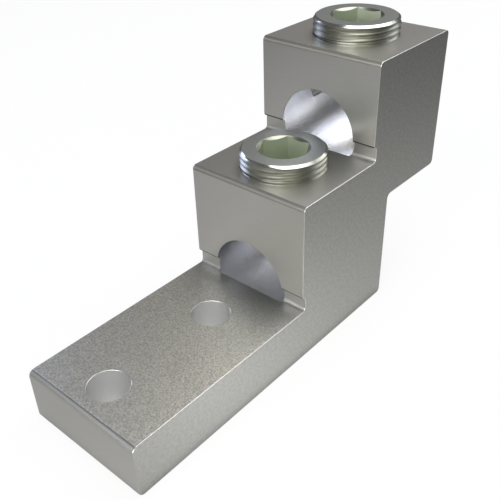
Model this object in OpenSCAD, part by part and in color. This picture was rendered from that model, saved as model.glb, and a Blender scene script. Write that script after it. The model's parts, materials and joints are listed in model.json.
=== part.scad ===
// Two-barrel panelboard lug: a stepped extruded body with a flat bolting tongue,
// a lower and an upper wire port along X, and a hex-socket set screw down into each port.
// Millimetres. Origin: middle of the bolt-hole line, on the flat underside.
// +X runs from the tongue toward the tall end, +Z is up, +Y is across the sawn width.

/* [Body] */
// Width between the two sawn side faces
body_w = 38.1; // [34:0.1:60]
// Thickness of the bolting tongue
tongue_t = 15.8; // [12:0.1:17]
// Length of the tongue, from its end to the front of the lower block
tongue_len = 60; // [56:0.1:80]
// Height of the lower block's top above the underside
lower_top = 47.7; // [45:0.1:56]
// Length of the lower block's exposed top, up to the front of the upper block
lower_run = 30.4; // [27:0.1:36]
// Height of the upper block's top above the lower block's top
upper_rise = 27.6; // [25:0.1:40]
// How far the lower block's metal reaches back under the upper block
neck = 9.3; // [8:0.1:14]
// How far the upper block hangs out past the underside
overhang = 25.6; // [20:0.1:36]
// Height of the overhang's lower face above the underside
overhang_z = 34.3; // [32.5:0.1:36]

/* [Corners] */
// Radius at the tongue's free end
tip_r = 1.8; // [0.5:0.1:4]
// Radius along the other outer corners
corner_r = 1.3; // [0.4:0.1:3]
// Radius of the inside corner under the overhang
under_r = 1.6; // [0.4:0.1:4]

/* [Relief grooves] */
// Height of the groove at the foot of each block's front face
relief_h = 4.2; // [2.5:0.1:6]
// Depth of the groove
relief_d = 1.15; // [0.9:0.05:2]
// Radius of the lip above the groove
relief_lip_r = 0.75; // [0.2:0.05:0.8]
// Radius at the groove's foot
relief_foot_r = 1.1; // [0.3:0.05:2]

/* [Bolt holes] */
// Diameter of the two holes in the tongue
hole_d = 10.6; // [8:0.1:13]
// Distance between the two hole centres
hole_pitch = 35; // [28:0.1:40]
// Distance from the tongue's end to the first hole's centre
hole_end = 9.5; // [8:0.1:14]

/* [Wire ports] */
// Diameter of the two wire ports
port_d = 24; // [20:0.1:25]
// Metal left under the lower port
lower_floor = 6; // [4.5:0.1:7]
// Metal left under the upper port
upper_floor = 5.6; // [4:0.1:7]
// How far the flat-ended cut runs out of each front face
port_lead = 0.1; // [0.05:0.05:0.4]

/* [Set screws] */
// Outer diameter of the screw thread
screw_d = 24; // [20:0.1:25]
// Radial running clearance of the screw in its tapped hole
screw_gap = 0.05; // [0.02:0.01:0.1]
// Height of each screw's top above its block at rest
screw_proud = 5; // [0:0.1:7]
// Gap between each screw's lower end and the top of its port at rest
nose_gap = 0.3; // [0.1:0.1:2]
// How far behind the middle of the lower block's exposed top its screw sits
lower_screw_shift = 0.5; // [0:0.1:1]
// Distance above the port's axis at which each tapped hole ends
tap_end = 3; // [2:0.1:5]
// Radial width of the chamfer at the screw's top
top_cut_r = 1.1; // [0.4:0.1:2]
// Height of the chamfer at the screw's top
top_cut_h = 0.7; // [0.3:0.1:2]
// Chamfer at the screw's lower end
nose_cut = 2.5; // [0.5:0.1:4]

/* [Hex sockets] */
// Width across the flats of the socket
hex_af = 12.7; // [8:0.1:14]
// Depth of the socket
hex_depth = 10; // [6:0.1:11]
// Radial width of the countersink, past the socket's flats
sink_r = 1; // [0.4:0.05:1.5]
// Depth of the countersink at the socket's flats
sink_h = 0.6; // [0.2:0.05:1]
// Direction of one corner of the lower screw's socket, in degrees from +X
lower_turn = 29; // [0:1:59]
// Direction of one corner of the upper screw's socket, in degrees from +X
upper_turn = 32; // [0:1:59]

/* [Hidden] */
$fn = 96;
cut = 1;
front_x = -hole_end - hole_pitch / 2;
lower_x = front_x + tongue_len;
upper_x = lower_x + lower_run;
foot_x = upper_x + neck;
back_x = foot_x + overhang;
upper_top = lower_top + upper_rise;
port_r = port_d / 2;
lower_port_z = lower_floor + port_r;
upper_port_z = overhang_z + upper_floor + port_r;
lower_screw_x = (lower_x + upper_x) / 2 + lower_screw_shift;
upper_screw_x = (upper_x + back_x) / 2;
screw_r = screw_d / 2;
tap_r = screw_r + screw_gap;
lip_inner_r = (relief_d - relief_lip_r) * 0.8;

// Cutter that rounds an outer corner; quarter 0 faces +X +Z, counted anticlockwise.
module round_off(x, z, r, quarter) {
    translate([x, z])
        rotate(90 * quarter)
            translate([-r, -r])
                difference() {
                    square(r + cut);
                    circle(r);
                }
}

// Metal that fills an inside corner whose open side faces the given quarter.
module fillet(x, z, r, quarter) {
    translate([x, z])
        rotate(90 * quarter)
            difference() {
                translate([-cut / 2, -cut / 2])
                    square(r + cut / 2);
                translate([r, r])
                    circle(r);
            }
}

// Relief groove at the foot of a front face at x, above a surface at height z.
module relief(x, z) {
    difference() {
        union() {
            translate([x - cut, z])
                square([relief_d + cut, relief_h]);
            round_off(x, z + relief_h, relief_lip_r, 2);
        }
        fillet(x + relief_d, z, relief_foot_r, 1);
        fillet(x + relief_d, z + relief_h, lip_inner_r, 2);
    }
}

// Side outline of the extrusion, drawn in X and Z.
module outline() {
    difference() {
        union() {
            translate([front_x, 0])
                square([foot_x - front_x, tongue_t]);
            translate([lower_x, 0])
                square([foot_x - lower_x, lower_top]);
            translate([upper_x, overhang_z])
                square([back_x - upper_x, upper_top - overhang_z]);
            fillet(foot_x, overhang_z, under_r, 3);
        }
        round_off(front_x, tongue_t, tip_r, 1);
        round_off(front_x, 0, tip_r, 2);
        round_off(lower_x, lower_top, corner_r, 1);
        round_off(upper_x, upper_top, corner_r, 1);
        round_off(back_x, upper_top, corner_r, 0);
        round_off(back_x, overhang_z, corner_r, 3);
        round_off(foot_x, 0, corner_r, 3);
        relief(lower_x, tongue_t);
        relief(upper_x, lower_top);
    }
}

// Wire port, flat at its front end and open at the back.
module port_cut(x, z, x_end) {
    translate([x - port_lead, 0, z])
        rotate([90, 0, 90])
            cylinder(h = x_end + cut - x + port_lead, r = port_r);
}

module tap_cut(x, port_z, top) {
    translate([x, 0, port_z + tap_end])
        cylinder(h = top + cut - port_z - tap_end, r = tap_r);
}

module lug_body() {
    color([0.62, 0.62, 0.6])
        difference() {
            rotate([90, 0, 0])
                linear_extrude(height = body_w, center = true)
                    outline();
            for (side = [-1, 1])
                translate([side * hole_pitch / 2, 0, -cut])
                    cylinder(h = tongue_t + 2 * cut, d = hole_d);
            port_cut(lower_x, lower_port_z, foot_x);
            port_cut(upper_x, upper_port_z, back_x);
            tap_cut(lower_screw_x, lower_port_z, lower_top);
            tap_cut(upper_screw_x, upper_port_z, upper_top);
        }
}

// Set screw from its lower end z0 to its top z1, with a countersunk hex socket.
module set_screw(x, z0, z1, turn) {
    translate([x, 0, z0])
        difference() {
            union() {
                cylinder(h = nose_cut, r1 = screw_r - nose_cut, r2 = screw_r);
                translate([0, 0, nose_cut])
                    cylinder(h = z1 - z0 - nose_cut - top_cut_h, r = screw_r);
                translate([0, 0, z1 - z0 - top_cut_h])
                    cylinder(h = top_cut_h, r1 = screw_r, r2 = screw_r - top_cut_r);
            }
            translate([0, 0, z1 - z0 - hex_depth])
                rotate(turn)
                    cylinder(h = hex_depth + cut, r = hex_af / sqrt(3), $fn = 6);
            translate([0, 0, z1 - z0 - 2 * sink_h])
                cylinder(h = 3 * sink_h, r1 = hex_af / 2 - sink_r, r2 = hex_af / 2 + 2 * sink_r);
        }
}

module lower_set_screw() {
    color([0.66, 0.66, 0.6])
        set_screw(lower_screw_x, lower_port_z + port_r + nose_gap, lower_top + screw_proud, lower_turn);
}

module upper_set_screw() {
    color([0.66, 0.66, 0.6])
        set_screw(upper_screw_x, upper_port_z + port_r + nose_gap, upper_top + screw_proud, upper_turn);
}

lug_body();
lower_set_screw();
upper_set_screw();
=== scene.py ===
# %% [markdown]
# # A two-barrel panelboard lug
# The object is read as one length of extruded aluminium, sawn off, drilled and tapped, then tin
# plated. It has a flat tongue that bolts down, and two blocks in a step, each with a port for a wire
# and a hex-socket set screw that clamps it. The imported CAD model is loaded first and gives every
# piece its size and place. Blender adds what the eye looks for: broken edges, threads on the
# screws, and a finish for each way the metal was worked.

# %% Load the frame
import json
import math

import bmesh
import bpy
from mathutils import Matrix, Vector

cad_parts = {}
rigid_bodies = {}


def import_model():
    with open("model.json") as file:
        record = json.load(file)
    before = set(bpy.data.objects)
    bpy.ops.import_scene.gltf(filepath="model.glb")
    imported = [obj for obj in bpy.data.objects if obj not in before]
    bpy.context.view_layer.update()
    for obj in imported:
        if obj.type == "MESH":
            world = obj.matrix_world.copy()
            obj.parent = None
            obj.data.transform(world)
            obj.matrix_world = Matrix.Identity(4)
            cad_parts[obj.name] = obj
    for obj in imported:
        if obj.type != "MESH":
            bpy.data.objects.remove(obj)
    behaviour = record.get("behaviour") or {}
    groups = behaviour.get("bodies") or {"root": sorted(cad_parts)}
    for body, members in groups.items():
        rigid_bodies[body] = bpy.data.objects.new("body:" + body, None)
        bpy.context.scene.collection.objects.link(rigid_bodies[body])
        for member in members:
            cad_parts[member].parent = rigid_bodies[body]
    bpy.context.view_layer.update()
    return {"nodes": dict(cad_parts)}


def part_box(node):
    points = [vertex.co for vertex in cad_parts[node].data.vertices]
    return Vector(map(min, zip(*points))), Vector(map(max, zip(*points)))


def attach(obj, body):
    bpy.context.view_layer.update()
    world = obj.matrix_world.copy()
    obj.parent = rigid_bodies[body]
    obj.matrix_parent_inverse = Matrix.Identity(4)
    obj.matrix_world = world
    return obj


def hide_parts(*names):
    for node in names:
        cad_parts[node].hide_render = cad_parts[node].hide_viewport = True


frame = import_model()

MM = 0.001

# %% [markdown]
# ## Where things are
# The frame's origin lies between the two bolt holes, on the flat underside. X runs along the part,
# Y across the sawn width and Z up. The levels where the flat faces lie are written here, and the
# boxes of the CAD nodes say where the screws stand.

# %% Levels of the body and boxes of the screws
X, Y, Z = 0, 1, 2
HALF_WIDTH = 19.05 * MM
TONGUE_TOP = 15.8 * MM
LOWER_FRONT, UPPER_FRONT = 33.0 * MM, 63.4 * MM
FOOT_BACK, UPPER_BACK = 72.7 * MM, 98.3 * MM

screw_boxes = {name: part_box(name) for name in ("lower_set_screw", "upper_set_screw")}
for name, (low, high) in screw_boxes.items():
    print(name, "from z", round(low.z / MM, 2), "to", round(high.z / MM, 2), "mm")

# %% [markdown]
# ## Camera
# The photograph looks down at about 34 degrees, past the tongue's end and from the -Y side. It is
# taken from close by, so what lies farther back looks clearly smaller. The camera's place and turn
# were solved from the corners and circles that show in the picture, for a 36 mm sensor. Solving
# them first means that shapes can be compared with the picture before any looks are judged.

# %% Camera at the photograph's viewing angle
SENSOR_MM, LENS_MM = 36, 50.09
CAMERA_PLACE = Vector((-83.617, -105.386, 132.545)) * MM
HEADING, TILT, ROLL = math.radians(-48.149), math.radians(56.358), math.radians(-1.814)

camera_data = bpy.data.cameras.new("camera")
camera = bpy.data.objects.new("camera", camera_data)
bpy.context.scene.collection.objects.link(camera)
camera_data.sensor_width = SENSOR_MM
camera_data.lens = LENS_MM
camera_data.clip_start, camera_data.clip_end = 0.005, 50
camera_data.dof.use_dof = False
camera.matrix_world = (
    Matrix.Translation(CAMERA_PLACE)
    @ Matrix.Rotation(HEADING, 4, "Z")
    @ Matrix.Rotation(TILT, 4, "X")
    @ Matrix.Rotation(ROLL, 4, "Z")
)
bpy.context.scene.camera = camera
bpy.context.scene.view_settings.view_transform = "Standard"
print("camera", [round(v / MM, 1) for v in camera.location], "mm")

# %% [markdown]
# ## Colours and nodes
# Colours are written as sRGB hex values, as they would be picked from a swatch. Cycles works with
# linear light, so one function turns them over. One more function adds a shader node, sets it up
# and links it, which keeps each material readable as a list of its parts.


# %% Helpers for colours and shader nodes
def linear(code):
    channels = [int(code[i:i + 2], 16) / 255 for i in (1, 3, 5)]
    return tuple(c / 12.92 if c <= 0.04045 else ((c + 0.055) / 1.055) ** 2.4 for c in channels) + (1.0,)


def add_node(tree, kind, inputs=None, **settings):
    node = tree.nodes.new(kind)
    for name, value in settings.items():
        setattr(node, name, value)
    for socket, value in (inputs or {}).items():
        if isinstance(value, bpy.types.NodeSocket):
            tree.links.new(value, node.inputs[socket])
        else:
            node.inputs[socket].default_value = value
    return node


print("mid grey in linear light:", [round(c, 3) for c in linear("#808080")[:3]])

# %% [markdown]
# ## The body
# The CAD body has the right shape, but its edges are perfectly sharp. The dressed body is a copy of
# its mesh. Its loose triangles are merged and flat areas are joined into single faces, so that the
# edges of the object can be picked by where they lie.


# %% Copy the CAD body and merge its triangles
MERGE_WITHIN = 0.0005 * MM
FLAT_WITHIN = math.radians(0.3)


def merged_copy(node_name):
    mesh = bmesh.new()
    mesh.from_mesh(frame["nodes"][node_name].data)
    bmesh.ops.remove_doubles(mesh, verts=mesh.verts, dist=MERGE_WITHIN)
    bmesh.ops.dissolve_limit(mesh, angle_limit=FLAT_WITHIN, verts=mesh.verts, edges=mesh.edges)
    bmesh.ops.recalc_face_normals(mesh, faces=mesh.faces)
    return mesh


def finish_piece(mesh, name, body, materials, sharp_angle=30):
    """Turns a mesh into an object with its finishes, which rides on a body of the frame."""
    data = bpy.data.meshes.new(name)
    mesh.to_mesh(data)
    mesh.free()
    piece = bpy.data.objects.new(name, data)
    bpy.context.scene.collection.objects.link(piece)
    for material in materials:
        data.materials.append(material)
    for polygon in data.polygons:
        polygon.use_smooth = True
    data.set_sharp_from_angle(angle=math.radians(sharp_angle))
    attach(piece, body)
    print(name, len(data.polygons), "faces on body", body)
    return piece


body_mesh = merged_copy("lug_body")
print("merged body:", len(body_mesh.verts), "vertices,", len(body_mesh.faces), "faces")


# %% [markdown]
# ## Broken edges
# Sawn and drilled edges are broken with a file or in a tumbler, and a broken edge is what catches
# the light. Here it is a bevel of 0.15 to 0.2 mm round the sawn sides, the front and back faces and
# the bolt holes. The rims of the bolt holes have a call of their own without Blender's overlap
# clamp: they are rings of short edges, where the clamp shrinks the bevel to almost nothing.
# The rims of the tapped holes stay sharp.


# %% Break the edges of the body
SHARP_FROM = math.radians(40)
EDGE_BREAK, RIM_BREAK = 0.2 * MM, 0.15 * MM
BOLT_HOLES_END = 25 * MM


def lies_on(edge, axis, levels, tolerance=0.01 * MM):
    return any(all(abs(v.co[axis] - level) < tolerance for v in edge.verts) for level in levels)


def is_sharp(edge):
    return len(edge.link_faces) == 2 and edge.calc_face_angle() > SHARP_FROM


def break_edges(mesh, axis, levels, width, x_end=math.inf, clamp=True):
    """Bevels the sharp edges that lie on one of an axis's levels and whose first point is before x_end."""
    edges = [
        e for e in mesh.edges
        if is_sharp(e) and lies_on(e, axis, levels) and e.verts[0].co.x < x_end
    ]
    bmesh.ops.bevel(
        mesh, geom=edges, offset=width, offset_type="OFFSET", affect="EDGES",
        segments=2, profile=0.5, material=-1, clamp_overlap=clamp,
    )
    print("broke", len(edges), "edges on", "XYZ"[axis], "levels")


break_edges(body_mesh, Y, (-HALF_WIDTH, HALF_WIDTH), EDGE_BREAK)
break_edges(body_mesh, Z, (0, TONGUE_TOP), RIM_BREAK, x_end=BOLT_HOLES_END, clamp=False)
break_edges(body_mesh, Z, (0, TONGUE_TOP), EDGE_BREAK)
break_edges(body_mesh, X, (LOWER_FRONT, UPPER_FRONT, FOOT_BACK, UPPER_BACK), EDGE_BREAK)

# %% [markdown]
# ## The metal
# Tin over aluminium is a soft silver grey. All the finishes share it and differ in how the surface
# was made, and some are also painted lighter or darker as painted light and shade. Each one is a
# metallic Principled shader with a bump in millimetres that scatters the light as tool marks do. One
# recipe makes them all, so a finish is a line of numbers: the colours of its hollows and tops, its
# roughness, the size of its marks along X, Y and Z, and their depth.
# The colours were matched to the photograph in this studio, where the metal mirrors a dim
# surround, so they are written lighter than they look.


# %% Shared recipe for the plated metal
HOLLOW_LEVEL, TOP_LEVEL = 0.35, 0.65


def stretched_noise(tree, place, grain, detail):
    """Noise whose grains have the given size in mm along X, Y and Z."""
    scale = [1 / (g * MM) for g in grain]
    scaled = add_node(tree, "ShaderNodeMapping", {"Vector": place, "Scale": scale})
    noise = add_node(
        tree, "ShaderNodeTexNoise",
        {"Vector": scaled.outputs["Vector"], "Scale": 1.0, "Detail": detail},
    )
    return noise.outputs["Fac"]


def plated_metal(name, dark, light, roughness, grain, depth, detail=2):
    """Metal with tool marks: their size along X, Y and Z and their depth are in mm,
    and their hollows and tops have the two colours."""
    material = bpy.data.materials.new(name)
    material.use_nodes = True
    tree = material.node_tree
    shader = tree.nodes["Principled BSDF"]
    shader.inputs["Metallic"].default_value = 1.0
    shader.inputs["Roughness"].default_value = roughness
    place = add_node(tree, "ShaderNodeTexCoord").outputs["Object"]
    marks = stretched_noise(tree, place, grain, detail)
    share = add_node(
        tree, "ShaderNodeMapRange", {"Value": marks, "From Min": HOLLOW_LEVEL, "From Max": TOP_LEVEL}
    )
    shade = add_node(
        tree, "ShaderNodeMix", {0: share.outputs[0], 6: linear(dark), 7: linear(light)},
        data_type="RGBA",
    )
    tree.links.new(shade.outputs[2], shader.inputs["Base Color"])
    bump = add_node(tree, "ShaderNodeBump", {"Height": marks, "Strength": 1.0, "Distance": depth * MM})
    tree.links.new(bump.outputs["Normal"], shader.inputs["Normal"])
    return material


# %% Finishes of the body
# Drawn through the die: faint streaks run along Y, and the eye sees a calm, even satin.
extruded = plated_metal("tin_plated_aluminium_extruded", "#cccbc7", "#cecdc9", 0.38, (0.3, 9, 0.3), 0.005)
# Sawn: a soft mottle that tells the cut sides from the drawn faces. Tooth marks a few tenths of a
# millimetre apart would be too fine to show, so the mottle is drawn about 1 mm coarse.
sawn = plated_metal("tin_plated_aluminium_sawn", "#c5c5c0", "#d3d3ce", 0.36, (1.1, 1, 0.7), 0.04)
# Tumbled: a pale speckle that makes the tongue look powdery beside the blocks. Real dimples would be
# too fine to show, so they are drawn 0.4 mm wide.
tumbled = plated_metal("tin_plated_aluminium_tumbled", "#d6d4c9", "#fdfbf1", 0.36, (0.4, 0.4, 0.4), 0.06, 1)
# Bored: spreads the lamps into a soft glow inside the ports, and its colour is painted much lighter
# than the drawn faces, a painted light inside the ports. The tool's fine rings are drawn as an even
# grain of 0.4 mm, coarser and deeper than real ones.
bored_with_painted_light = plated_metal("tin_plated_aluminium_bored", "#e8e9ec", "#f6f7fa", 0.27, (0.4, 0.4, 0.4), 0.09)
# Drilled: rings 0.2 mm apart along the bolt holes, and a near-white colour, a painted light that
# keeps their walls light.
drilled = plated_metal("tin_plated_aluminium_drilled_with_painted_light", "#f6f6f5", "#fcfcfb", 0.36, (3, 3, 0.2), 0.03)
# Rubbed: the broken edges that look up are smoother than the drawn faces and painted a little
# brighter, a painted highlight on the rubbed metal.
rubbed_and_sheen = plated_metal("tin_plated_aluminium_rubbed_edge", "#e4e3e0", "#f0eeea", 0.3, (1.5, 1.5, 1.5), 0.01)

# %% Finishes of the screws
# Threaded: painted a darker grey than the rest of the screw, a painted shade on the teeth, with a
# trace of green, against which the crests catch the light.
threaded_with_painted_shade = plated_metal("tin_plated_aluminium_threaded", "#a0a195", "#a6a79b", 0.3, (2, 2, 0.2), 0.003)
# Turned: the smoothest finish, for crisp highlights on the chamfers.
turned = plated_metal("tin_plated_aluminium_turned", "#cfd1c8", "#d1d3ca", 0.17, (2, 2, 0.2), 0.002)
# Faced: the flat crown, a duller ring round the socket.
faced = plated_metal("tin_plated_aluminium_faced", "#c6cac8", "#cdd1cf", 0.36, (0.5, 0.5, 0.5), 0.01)
# Broached: rough, with fine scratches down the socket's walls and a trace of green.
broached = plated_metal("tin_plated_aluminium_broached", "#d2d9c8", "#d4dbca", 0.5, (0.4, 0.4, 6), 0.003)

# %% Dark strips and the tapped holes
# The strips on the grooves' lips and along the corners of the blocks aren't metals of their own but
# painted shade, strips darkened for the look. They stand for the narrow shade on the lips of the
# grooves and along the corners of the blocks, whose rounding is wider in this model than on the real part.
painted_lip_shade = plated_metal("tin_plated_aluminium_groove", "#4f4f4c", "#5a5a56", 0.5, (0.5, 0.5, 0.5), 0.01)
painted_corner_line = plated_metal("tin_plated_aluminium_die_line", "#9a9891", "#a4a29b", 0.4, (0.3, 9, 0.3), 0.005)
painted_corner_shade = plated_metal("tin_plated_aluminium_die_corner", "#b6b3aa", "#bab7ae", 0.38, (0.3, 9, 0.3), 0.005)
# Tapped: rough, and painted pale, a painted light inside the holes, so that the rings of the thread
# show as soft bands.
tapped_with_painted_light = plated_metal("tin_plated_aluminium_tapped", "#f0f0f2", "#f4f4f6", 0.5, (2, 2, 0.2), 0.003)
print("finishes:", [m.name for m in bpy.data.materials if m.name.startswith("tin_plated")])

# %% [markdown]
# ## Thread in the tapped holes
# A screw slides in its hole here without turning, and a modelled thread in the hole would cut
# through the screw's own. So the holes stay smooth and their thread is only a bump: a wave texture
# with bands along Z. A band repeats every pi / (10 x Scale), which gives the scale for a real pitch.

# %% Rings at the pitch of the thread
PITCH = 25.4 / 16 * MM
RING_DEPTH = 0.4 * MM

tree = tapped_with_painted_light.node_tree
place = add_node(tree, "ShaderNodeTexCoord").outputs["Object"]
rings = add_node(
    tree, "ShaderNodeTexWave", {"Vector": place, "Scale": math.pi / 10 / PITCH},
    bands_direction="Z",
)
grooves = add_node(
    tree, "ShaderNodeBump", {"Height": rings.outputs["Fac"], "Strength": 1.0, "Distance": RING_DEPTH}
)
tree.links.new(grooves.outputs["Normal"], tree.nodes["Principled BSDF"].inputs["Normal"])
print("thread pitch:", round(PITCH / MM, 4), "mm")

# %% [markdown]
# ## The speckle fades towards the block
# In the photograph the speckle is strong on most of the tongue and weak close to the lower block.
# That may be wear, or only a reflection of the block. It is drawn in the material: between two
# places along X the speckle turns to a plain grey and its bump gets shallower.

# %% Fade the speckle
SPECKLE_FULL, SPECKLE_FAINT = 19 * MM, 33 * MM
LEAST_SPECKLE = 0.2

tree = tumbled.node_tree
shader = tree.nodes["Principled BSDF"]
speckle = shader.inputs["Base Color"].links[0].from_socket
bump = shader.inputs["Normal"].links[0].from_node
place = add_node(tree, "ShaderNodeTexCoord").outputs["Object"]
along = add_node(tree, "ShaderNodeSeparateXYZ", {0: place})
reach = add_node(tree, "ShaderNodeMapRange", {
    "Value": along.outputs["X"], "From Min": SPECKLE_FAINT, "From Max": SPECKLE_FULL,
    "To Min": LEAST_SPECKLE,
})
plain_near_block = add_node(
    tree, "ShaderNodeMix", {0: reach.outputs[0], 6: linear("#c6c7c7"), 7: speckle},
    data_type="RGBA",
)
tree.links.new(plain_near_block.outputs[2], shader.inputs["Base Color"])
tree.links.new(reach.outputs[0], bump.inputs["Strength"])
print("speckle fades from x", SPECKLE_FULL / MM, "to", SPECKLE_FAINT / MM, "mm")

# %% [markdown]
# ## Which face has which finish
# A table lists the round walls with their axis, radius and finish, in the measures of the CAD
# source. A face belongs to a wall when all its corners lie on it and it faces the right way. The
# flat faces are told apart by where they lie and which way they look. Of the rest, those that look
# partly up are broken edges and get the rubbed finish with its painted highlight, and all others get
# the extruded one.

# %% Give each face of the body its finish
FINISHES = [extruded, sawn, tumbled, bored_with_painted_light, drilled, rubbed_and_sheen, painted_lip_shade, tapped_with_painted_light, painted_corner_line, painted_corner_shade]
HOLLOW, CONVEX = 1, -1
ROUNDS = [  # axis, a point on it in mm, radius in mm, side of the metal, finish
    ("X", (0, 0, 18), 12, HOLLOW, bored_with_painted_light),  # wire ports
    ("X", (0, 0, 51.9), 12, HOLLOW, bored_with_painted_light),
    ("Z", (-17.5, 0, 0), 5.3, HOLLOW, drilled),  # bolt holes
    ("Z", (17.5, 0, 0), 5.3, HOLLOW, drilled),
    ("Z", (48.7, 0, 0), 12.05, HOLLOW, tapped_with_painted_light),  # tapped holes
    ("Z", (80.85, 0, 0), 12.05, HOLLOW, tapped_with_painted_light),
    ("Y", (-25.2, 0, 14), 1.8, CONVEX, extruded),  # tongue's end
    ("Y", (-25.2, 0, 1.8), 1.8, CONVEX, extruded),
    # The blocks' outer corners carry painted shade, which dims the light on their rounding.
    ("Y", (34.3, 0, 46.4), 1.3, CONVEX, painted_corner_shade),  # outer corners of the profile
    ("Y", (64.7, 0, 74), 1.3, CONVEX, painted_corner_shade),
    ("Y", (97, 0, 74), 1.3, CONVEX, painted_corner_shade),
    ("Y", (97, 0, 35.6), 1.3, CONVEX, extruded),
    ("Y", (71.4, 0, 1.3), 1.3, CONVEX, extruded),
    ("Y", (74.3, 0, 32.7), 1.6, HOLLOW, extruded),  # under the overhang
    ("Y", (33.75, 0, 20.75), 0.75, CONVEX, painted_lip_shade),  # relief grooves: lip, foot and inner corner
    ("Y", (64.15, 0, 52.65), 0.75, CONVEX, painted_lip_shade),
    ("Y", (33.05, 0, 16.9), 1.1, HOLLOW, extruded),
    ("Y", (63.45, 0, 48.8), 1.1, HOLLOW, extruded),
    ("Y", (33.83, 0, 19.68), 0.32, HOLLOW, extruded),
    ("Y", (64.23, 0, 51.58), 0.32, HOLLOW, extruded),
]


ON_WALL, ON_FACE = 0.02 * MM, 0.05 * MM  # how near a point has to lie
ALONG_NORMAL, SQUARE_ON = 0.9, 0.95  # how well two directions have to agree
UNDER_THE_LIP = -0.15  # a groove's lip gets painted shade where its normal points lower than this
CORNER_STARTS, CORNER_TOP = 0.93, 0.975  # the line of painted shade along a corner lies between these heights of the normal
EDGE_TILT = (0.3, 0.999)  # a broken edge that looks up, and gets the painted highlight, has a normal between these heights


def to_axis(point, wall):
    """Vector from a point to the axis of a round wall."""
    away = Vector(wall[1]) * MM - point
    away["XYZ".index(wall[0])] = 0
    return away


def round_wall(points, normal):
    """The round wall that a face belongs to: all its corners lie on it and it faces the right way."""
    centre = sum(points, Vector()) / len(points)
    for wall in ROUNDS:
        on_wall = all(abs(to_axis(point, wall).length - wall[2] * MM) < ON_WALL for point in points)
        if on_wall and to_axis(centre, wall).normalized().dot(normal) * wall[3] > ALONG_NORMAL:
            return wall
    return None


def finish_of(face):
    centre, normal = face.calc_center_median(), face.normal
    wall = round_wall([vert.co for vert in face.verts], normal)
    # Painted shade under a groove's lip; the rest of the lip keeps the extruded finish.
    if wall and wall[4] == painted_lip_shade:
        return painted_lip_shade if normal.z < UNDER_THE_LIP else extruded
    # A thin line of painted shade runs along the top of each outer corner.
    if wall and wall[0] == "Y" and wall[3] == CONVEX and normal.z > CORNER_STARTS:
        on_edge = tumbled if centre.x < LOWER_FRONT else extruded
        return on_edge if normal.z > CORNER_TOP else painted_corner_line
    if wall:
        return wall[4]
    if abs(normal.y) > SQUARE_ON and abs(abs(centre.y) - HALF_WIDTH) < ON_FACE:
        return sawn
    if normal.z > SQUARE_ON and abs(centre.z - TONGUE_TOP) < ON_FACE and centre.x < LOWER_FRONT:
        return tumbled
    # Broken edges that look up get the rubbed finish, painted brighter as a painted highlight.
    return rubbed_and_sheen if EDGE_TILT[0] < normal.z < EDGE_TILT[1] else extruded


for face in body_mesh.faces:
    face.material_index = FINISHES.index(finish_of(face))

body = finish_piece(body_mesh, "lug_body_dressed", "lug", FINISHES, sharp_angle=50)
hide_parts("lug_body")

# %% [markdown]
# ## Shading that follows the true surface
# A bored wall is made of flat strips here. Their corners get the exact direction of the round wall,
# and flat faces keep their own, so reflections run smoothly round a bore and stay straight on a
# flat. The narrow bevels between them take what a weighted normal modifier works out, which is then
# removed, because the exact directions are stored in the mesh.

# %% Shade the flats flat and the round walls round
AXIS_ALIGNED = 0.99999

weighted = body.modifiers.new("weights by face area", "WEIGHTED_NORMAL")
weighted.keep_sharp = True
shaded = body.evaluated_get(bpy.context.evaluated_depsgraph_get()).data
normals = [Vector(corner.vector) for corner in shaded.corner_normals]
body.modifiers.remove(weighted)
flat_faces = round_faces = 0
for polygon in body.data.polygons:
    corners = [(i, body.data.vertices[body.data.loops[i].vertex_index].co) for i in polygon.loop_indices]
    wall = round_wall([point for i, point in corners], polygon.normal)
    if wall:
        round_faces += 1
        for i, point in corners:
            normals[i] = to_axis(point, wall).normalized() * wall[3]
    elif max(abs(component) for component in polygon.normal) > AXIS_ALIGNED:
        flat_faces += 1
        for i, point in corners:
            normals[i] = polygon.normal.copy()
body.data.normals_split_custom_set(normals)
print("exact shading on", flat_faces, "flat and", round_faces, "round faces")

# %% [markdown]
# ## The set screws
# Each screw is a short plug, 24 mm across, with a chamfered crown, a hexagon socket for a 12.7 mm
# key and a blunt nose. The pitch is that of a 16-per-inch thread. The teeth are shallower than the
# standard ones, which would be about 0.97 mm deep. The thread's outline is a few vertices, one tooth
# per pitch, and a full turn of the spin operator lifts it by one pitch as it goes round. Each turn
# then meets the next, and merging doubles closes the seam.

# %% Sizes of the screws
SCREW_RADIUS = 12.0 * MM
THREAD_DEPTH = 0.42 * MM
FLANK_ANGLE = math.radians(45)
STEPS = 96
CHAMFER = (0.8 * MM, 0.55 * MM)
NOSE = 2.5 * MM
CROWN_CUTS, NOSE_CUTS = 4, 8
SOCKET_FLAT = 12.7 / 2 * MM
SOCKET_DEPTH = 10.0 * MM
TIP_SHARE, TIP_DEPTH = 0.02, 1.5 * MM
SINK_RADIUS = 7.35 * MM
SINK_SLOPE = 0.6
SEAM_WITHIN, CUT_WITHIN = 0.002 * MM, 0.0001 * MM
SCREW_FINISHES = [threaded_with_painted_shade, turned, faced, broached]


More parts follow.
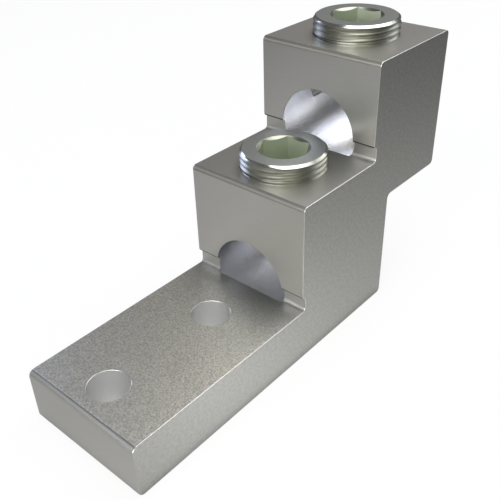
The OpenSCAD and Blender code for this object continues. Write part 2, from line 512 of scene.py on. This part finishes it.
# %% Spin one turn of thread
def threaded_tube(bottom, top, phase):
    mesh = bmesh.new()
    flank = THREAD_DEPTH * math.tan(FLANK_ANGLE)
    crest = PITCH / 8
    root = PITCH - crest - 2 * flank
    tooth = [(0, THREAD_DEPTH), (root, THREAD_DEPTH), (root + flank, 0), (root + flank + crest, 0)]
    first = math.floor((bottom - phase) / PITCH) - 1
    count = math.ceil((top - bottom) / PITCH) + 3
    points = [
        mesh.verts.new((SCREW_RADIUS - depth, 0, phase + (first + i) * PITCH + rise))
        for i in range(count) for rise, depth in tooth
    ]
    for a, b in zip(points, points[1:]):
        mesh.edges.new((a, b))
    bmesh.ops.spin(
        mesh, geom=mesh.verts[:] + mesh.edges[:], cent=(0, 0, 0), axis=(0, 0, 1),
        dvec=(0, 0, PITCH / STEPS), angle=math.tau, steps=STEPS, use_duplicate=False,
    )
    bmesh.ops.remove_doubles(mesh, verts=mesh.verts, dist=SEAM_WITHIN)
    return mesh


def cut_level(mesh, z, keep=None):
    """Cuts the mesh at height z. keep is 'below' or 'above', or None to only add the edge loop."""
    bmesh.ops.bisect_plane(
        mesh, geom=mesh.verts[:] + mesh.edges[:] + mesh.faces[:], dist=CUT_WITHIN,
        plane_co=(0, 0, z), plane_no=(0, 0, 1), clear_outer=keep == "below", clear_inner=keep == "above",
    )


def loop_at(mesh, z):
    return [e for e in mesh.edges if e.is_boundary and lies_on(e, Z, (z,), SEAM_WITHIN)]


# %% [markdown]
# ## Crown and nose
# A lathe can cut the chamfers after the thread, so that they run through its teeth. Here extra edge
# loops are cut where the cones will be, and each point outside a cone is pulled in to it.


# %% Turn the crown and the nose
def turn_ends(mesh, bottom, top):
    """Cuts the chamfers as a lathe would: no point may stand out past the cone."""
    cut_level(mesh, top, "below")
    cut_level(mesh, bottom, "above")
    for i in range(CROWN_CUTS):
        cut_level(mesh, top - CHAMFER[1] * (i + 1) / CROWN_CUTS)
    for i in range(NOSE_CUTS):
        cut_level(mesh, bottom + NOSE * (i + 1) / NOSE_CUTS)
    for vert in mesh.verts:
        radius = math.hypot(vert.co.x, vert.co.y)
        crown = SCREW_RADIUS - max(0, vert.co.z - top + CHAMFER[1]) * CHAMFER[0] / CHAMFER[1]
        nose = SCREW_RADIUS - max(0, bottom + NOSE - vert.co.z)
        limit = min(radius, crown, nose)
        vert.co.x *= limit / radius
        vert.co.y *= limit / radius


# %% [markdown]
# ## Socket
# A real socket can be drilled, countersunk and broached to a hexagon. Here it grows inwards from the
# crown's edge, one ring of edges at a time. Every ring is extruded from the one before, so the
# screw stays one closed skin with nothing to join.


# %% Broach the socket
def hexagon_radius(angle):
    return SOCKET_FLAT / math.cos(angle % math.radians(60) - math.radians(30))


def extrude_ring(mesh, edges):
    """Extrudes a closed ring of edges. Returns the new ring's vertices and edges."""
    made = bmesh.ops.extrude_edge_only(mesh, edges=edges)["geom"]
    verts = [g for g in made if isinstance(g, bmesh.types.BMVert)]
    new = set(verts)
    return verts, [g for g in made if isinstance(g, bmesh.types.BMEdge) and new.issuperset(g.verts)]


def set_radius(vert, radius):
    angle = math.atan2(vert.co.y, vert.co.x)
    vert.co.x, vert.co.y = radius * math.cos(angle), radius * math.sin(angle)
    return angle


def socket(mesh, crown, top, turn):
    """Grows the flat crown, the countersink, the six walls and the drilled bottom inwards
    from the crown's edge."""
    turned_faces = set(mesh.faces)
    verts, edges = extrude_ring(mesh, crown)
    for vert in verts:
        set_radius(vert, SINK_RADIUS)
    for face in set(mesh.faces) - turned_faces:
        face.material_index = SCREW_FINISHES.index(faced)
    flat_faces = set(mesh.faces)
    verts, edges = extrude_ring(mesh, edges)
    for vert in verts:
        radius = hexagon_radius(math.atan2(vert.co.y, vert.co.x) - turn)
        set_radius(vert, radius)
        vert.co.z = top - (SINK_RADIUS - radius) * SINK_SLOPE
    outside = set(mesh.faces)
    # The countersink takes the threaded finish, whose painted shade darkens the socket's mouth.
    for face in outside - flat_faces:
        face.material_index = SCREW_FINISHES.index(threaded_with_painted_shade)
    verts, edges = extrude_ring(mesh, edges)
    for vert in verts:
        vert.co.z = top - SOCKET_DEPTH
    verts, edges = extrude_ring(mesh, edges)
    for vert in verts:
        vert.co.x *= TIP_SHARE
        vert.co.y *= TIP_SHARE
        vert.co.z -= TIP_DEPTH
    bmesh.ops.edgeloop_fill(mesh, edges=edges)
    for face in mesh.faces:
        if face not in outside:
            face.material_index = SCREW_FINISHES.index(broached)


# %% [markdown]
# ## Both screws
# The two screws differ only in where they stand, how far their sockets are turned and where their
# threads start. The sockets are turned as the picture shows them.


# %% Put a screw together
def make_screw(node_name, body_name, turn_degrees, phase):
    """Makes a screw. phase is the share of a pitch by which its thread starts above its lower end."""
    low, high = screw_boxes[node_name]
    turn = math.radians(turn_degrees)
    mesh = threaded_tube(low.z, high.z, low.z + phase * PITCH)
    bmesh.ops.rotate(mesh, verts=mesh.verts, cent=(0, 0, 0), matrix=Matrix.Rotation(turn, 3, "Z"))
    turn_ends(mesh, low.z, high.z)
    bmesh.ops.edgeloop_fill(mesh, edges=loop_at(mesh, low.z))
    socket(mesh, loop_at(mesh, high.z), high.z, turn)
    for face in mesh.faces:
        centre = face.calc_center_median()
        is_thread = face.material_index == SCREW_FINISHES.index(threaded_with_painted_shade)
        at_rim = math.hypot(*centre.xy) > SCREW_RADIUS - NOSE
        at_end = centre.z > high.z - CHAMFER[1] or centre.z < low.z + NOSE
        if is_thread and at_rim and at_end:
            face.material_index = SCREW_FINISHES.index(turned)
    bmesh.ops.recalc_face_normals(mesh, faces=mesh.faces)
    centre = (low + high) / 2
    bmesh.ops.translate(mesh, verts=mesh.verts, vec=(centre.x, centre.y, 0))
    piece = finish_piece(mesh, node_name + "_threaded", body_name, SCREW_FINISHES)
    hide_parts(node_name)


make_screw("lower_set_screw", "lower_screw", turn_degrees=29, phase=0.5)
make_screw("upper_set_screw", "upper_screw", turn_degrees=32, phase=0.55)

# %% [markdown]
# ## The floor of the studio
# The part stands on plain white paper. To the camera the paper mostly glows white, and a small share
# of it is lit by the lamps, which lets the part throw a faint shadow. A satin metal mirrors the
# floor, and evenly white paper would wash it out. So in reflections the paper is a few pools of
# light that fade with distance, and it is darker close to the part.

# %% Floor
FLOOR_HALF = 3.0  # in metres, large enough to fill the photograph's view
FLOOR_GAP = 0.05 * MM  # keeps the paper clear of the part's underside

floor_mesh = bmesh.new()
bmesh.ops.create_grid(floor_mesh, x_segments=1, y_segments=1, size=FLOOR_HALF)
bmesh.ops.translate(floor_mesh, verts=floor_mesh.verts, vec=(0, 0, -FLOOR_GAP))
floor_data = bpy.data.meshes.new("floor")
floor_mesh.to_mesh(floor_data)
floor_mesh.free()
floor = bpy.data.objects.new("floor", floor_data)
bpy.context.scene.collection.objects.link(floor)

# %% White paper, with its light drawn in
CAMERA_SHARE, GLOSSY_SHARE = 0.88, 0.9  # how much of the paper glows to these rays
BASE_LEVEL = 0.03  # what is left of the light far from every pool
NEAR = 2.5 * MM

paper = bpy.data.materials.new("white_paper_sweep")
paper.use_nodes = True
tree = paper.node_tree
tree.nodes.clear()
rays = add_node(tree, "ShaderNodeLightPath").outputs
seen = add_node(
    tree, "ShaderNodeMath", {0: rays["Is Glossy Ray"], 1: rays["Is Transmission Ray"]},
    operation="MAXIMUM",
)
place = add_node(tree, "ShaderNodeTexCoord").outputs["Object"]


def pool_of_light(centre_mm, reach_mm, strength, base):
    """Light level on the paper that fades with the distance from its centre, added to a base level."""
    centre = [c * MM for c in centre_mm] + [0]
    away = add_node(tree, "ShaderNodeVectorMath", {0: place, 1: centre}, operation="DISTANCE")
    fade = add_node(tree, "ShaderNodeMath", {0: away.outputs["Value"], 1: -reach_mm * MM}, operation="DIVIDE")
    fall = add_node(tree, "ShaderNodeMath", {0: fade.outputs[0]}, operation="EXPONENT")
    pool = add_node(
        tree, "ShaderNodeMath", {0: fall.outputs[0], 1: strength, 2: base}, operation="MULTIPLY_ADD"
    )
    return pool.outputs[0]


back_pool = pool_of_light((190, 90), 70, 1.0, BASE_LEVEL)
side_pool = pool_of_light((-75, 95), 45, 0.55, back_pool)
pool = pool_of_light((8, -44), 70, 0.86, side_pool)
camera_glow = add_node(
    tree, "ShaderNodeMath", {0: rays["Is Camera Ray"], 1: CAMERA_SHARE}, operation="MULTIPLY"
)
glossy_glow = add_node(tree, "ShaderNodeMath", {0: seen.outputs[0], 1: GLOSSY_SHARE}, operation="MULTIPLY")
share = add_node(
    tree, "ShaderNodeMath", {0: camera_glow.outputs[0], 1: glossy_glow.outputs[0]},
    operation="MAXIMUM",
)
near = add_node(tree, "ShaderNodeAmbientOcclusion", {"Distance": NEAR}, samples=4)
shaded_pool = add_node(tree, "ShaderNodeMath", {0: pool, 1: near.outputs["AO"]}, operation="MULTIPLY")
level = add_node(
    tree, "ShaderNodeMath", {0: shaded_pool.outputs[0], 1: rays["Is Camera Ray"]},
    operation="MAXIMUM",
)
lit = add_node(tree, "ShaderNodeBsdfDiffuse", {"Color": linear("#f7f7f7")})
glow = add_node(tree, "ShaderNodeEmission", {"Color": (1, 1, 1, 1), "Strength": level.outputs[0]})
mixed = add_node(
    tree, "ShaderNodeMixShader", {"Fac": share.outputs[0], 1: lit.outputs[0], 2: glow.outputs[0]}
)
add_node(tree, "ShaderNodeOutputMaterial", {"Surface": mixed.outputs[0]})
floor_data.materials.append(paper)
print("paper reaches", FLOOR_HALF, "m each way")

# %% [markdown]
# ## The room
# The backdrop is white to the camera only. Everything else, the metal above all, sees a mid grey
# room, as in a studio that is darker than its paper.

# %% World
world = bpy.data.worlds.new("grey_studio")
bpy.context.scene.world = world
world.use_nodes = True
tree = world.node_tree
rays = add_node(tree, "ShaderNodeLightPath").outputs
shade = add_node(
    tree, "ShaderNodeMix", {0: rays["Is Camera Ray"], 6: linear("#666666"), 7: linear("#ffffff")},
    data_type="RGBA",
)
tree.links.new(shade.outputs[2], tree.nodes["Background"].inputs["Color"])
print("room grey in linear light:", round(linear("#666666")[0], 3))

# %% [markdown]
# ## Soft boxes
# Soft boxes light the part from above and from all sides. A satin metal shows what stands around it,
# so the place and size of a box matter as much as its power. Their levels were fitted to the
# colours of the photograph and then tuned, so they suit the photograph's own view best.


# %% Soft boxes
def soft_box(name, place_mm, target_mm, size_mm, colour, radiance):
    """A rectangular lamp of the given size that faces its target. Its power is worked out from
    the radiance that a mirror would show, where 1 is white paper."""
    lamp = bpy.data.lights.new(name, "AREA")
    lamp.shape = "RECTANGLE"
    lamp.size, lamp.size_y = (s * MM for s in size_mm)
    lamp.color = linear(colour)[:3]
    lamp.energy = radiance * math.pi * lamp.size * lamp.size_y
    lamp_object = bpy.data.objects.new(name, lamp)
    bpy.context.scene.collection.objects.link(lamp_object)
    lamp_object.location = Vector(place_mm) * MM
    aim = (Vector(target_mm) - Vector(place_mm)) * MM
    lamp_object.rotation_euler = aim.to_track_quat("-Z", "Y").to_euler()
    print(name, round(lamp.energy, 2), "W")


AIM = (30, 0, 40)  # near the middle of the part, in mm
soft_box("overhead_box", (350, -50, 700), (350, -50, 0), (1000, 400), "#ffffff", 3.1)
soft_box("key_box", (-839, -153, 509), AIM, (800, 550), "#fbf9ff", 3.0)
soft_box("low_box", (-890, -128, 238), AIM, (960, 320), "#ffffff", 3.3)
soft_box("fill_box", (-527, -663, 540), AIM, (960, 750), "#fcffe9", 1.08)
soft_box("left_box", (-603, 512, 529), AIM, (400, 350), "#f8fffc", 0.6)
soft_box("right_box", (727, -452, 501), AIM, (860, 300), "#f2f4ff", 1.75)
soft_box("back_box", (613, 310, 723), AIM, (330, 450), "#fff4e0", 0.5)
soft_box("window_box", (30, 893, 365), AIM, (480, 330), "#cdd6ff", 3.9)
